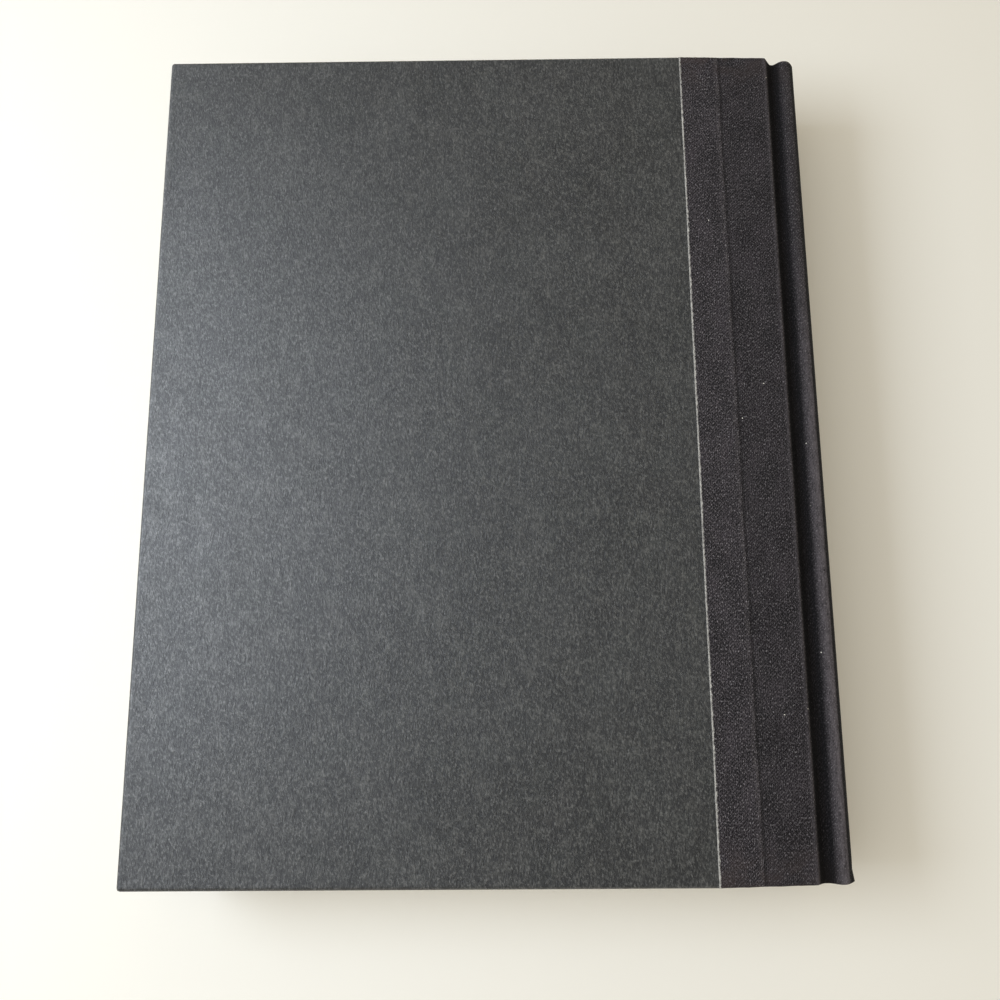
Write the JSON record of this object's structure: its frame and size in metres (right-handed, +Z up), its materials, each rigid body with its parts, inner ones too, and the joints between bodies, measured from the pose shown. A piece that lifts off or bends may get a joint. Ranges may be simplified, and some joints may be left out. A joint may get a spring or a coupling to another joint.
{
  "type": "hardcover book",
  "caption": "Closed quarter-bound hardcover book with a rounded cloth back, paper-covered boards and two hinged covers.",
  "frame": {"origin": "middle of the footprint, on the surface that the front cover lies on", "axes": "+X from the fore-edge to the spine, +Y from tail to head, +Z up out of the back cover"},
  "size_m": [0.2082, 0.2606, 0.0355],
  "materials": {
    "page_paper": "matt uncoated, cream",
    "endpaper": "matt uncoated, cream, a little heavier than the pages",
    "side_paper": "matt charcoal paper with paler fibres",
    "binding_cloth": "fine dark weave, matt",
    "greyboard": "dense grey paperboard",
    "mull": "open starched weave",
    "kraft_paper": "brown kraft",
    "card": "plain card",
    "band": "corded silk"
  },
  "bodies": {
    "block": {"text_block": "page_paper", "mull": "mull", "spine_lining": "kraft_paper", "spine_inlay": "card", "spine_cloth": "binding_cloth", "head_band": "band", "tail_band": "band", "back_flyleaf": "endpaper", "front_flyleaf": "endpaper"},
    "back_cover": {"back_board": "greyboard", "back_side_paper": "side_paper", "back_joint_cloth": "binding_cloth", "back_mull_flange": "mull", "back_pastedown": "endpaper"},
    "front_cover": {"front_board": "greyboard", "front_side_paper": "side_paper", "front_joint_cloth": "binding_cloth", "front_mull_flange": "mull", "front_pastedown": "endpaper"}
  },
  "joints": [
    {"name": "back_cover_hinge", "type": "hinge", "parent": "block", "child": "back_cover", "pos_m": [0.09888, 0, 0.0348], "axis": [0, 1, 0], "range_deg": [0, 180]},
    {"name": "front_cover_hinge", "type": "hinge", "parent": "block", "child": "front_cover", "pos_m": [0.09888, 0, 0.0007], "axis": [0, -1, 0], "range_deg": [0, 180]}
  ]
}
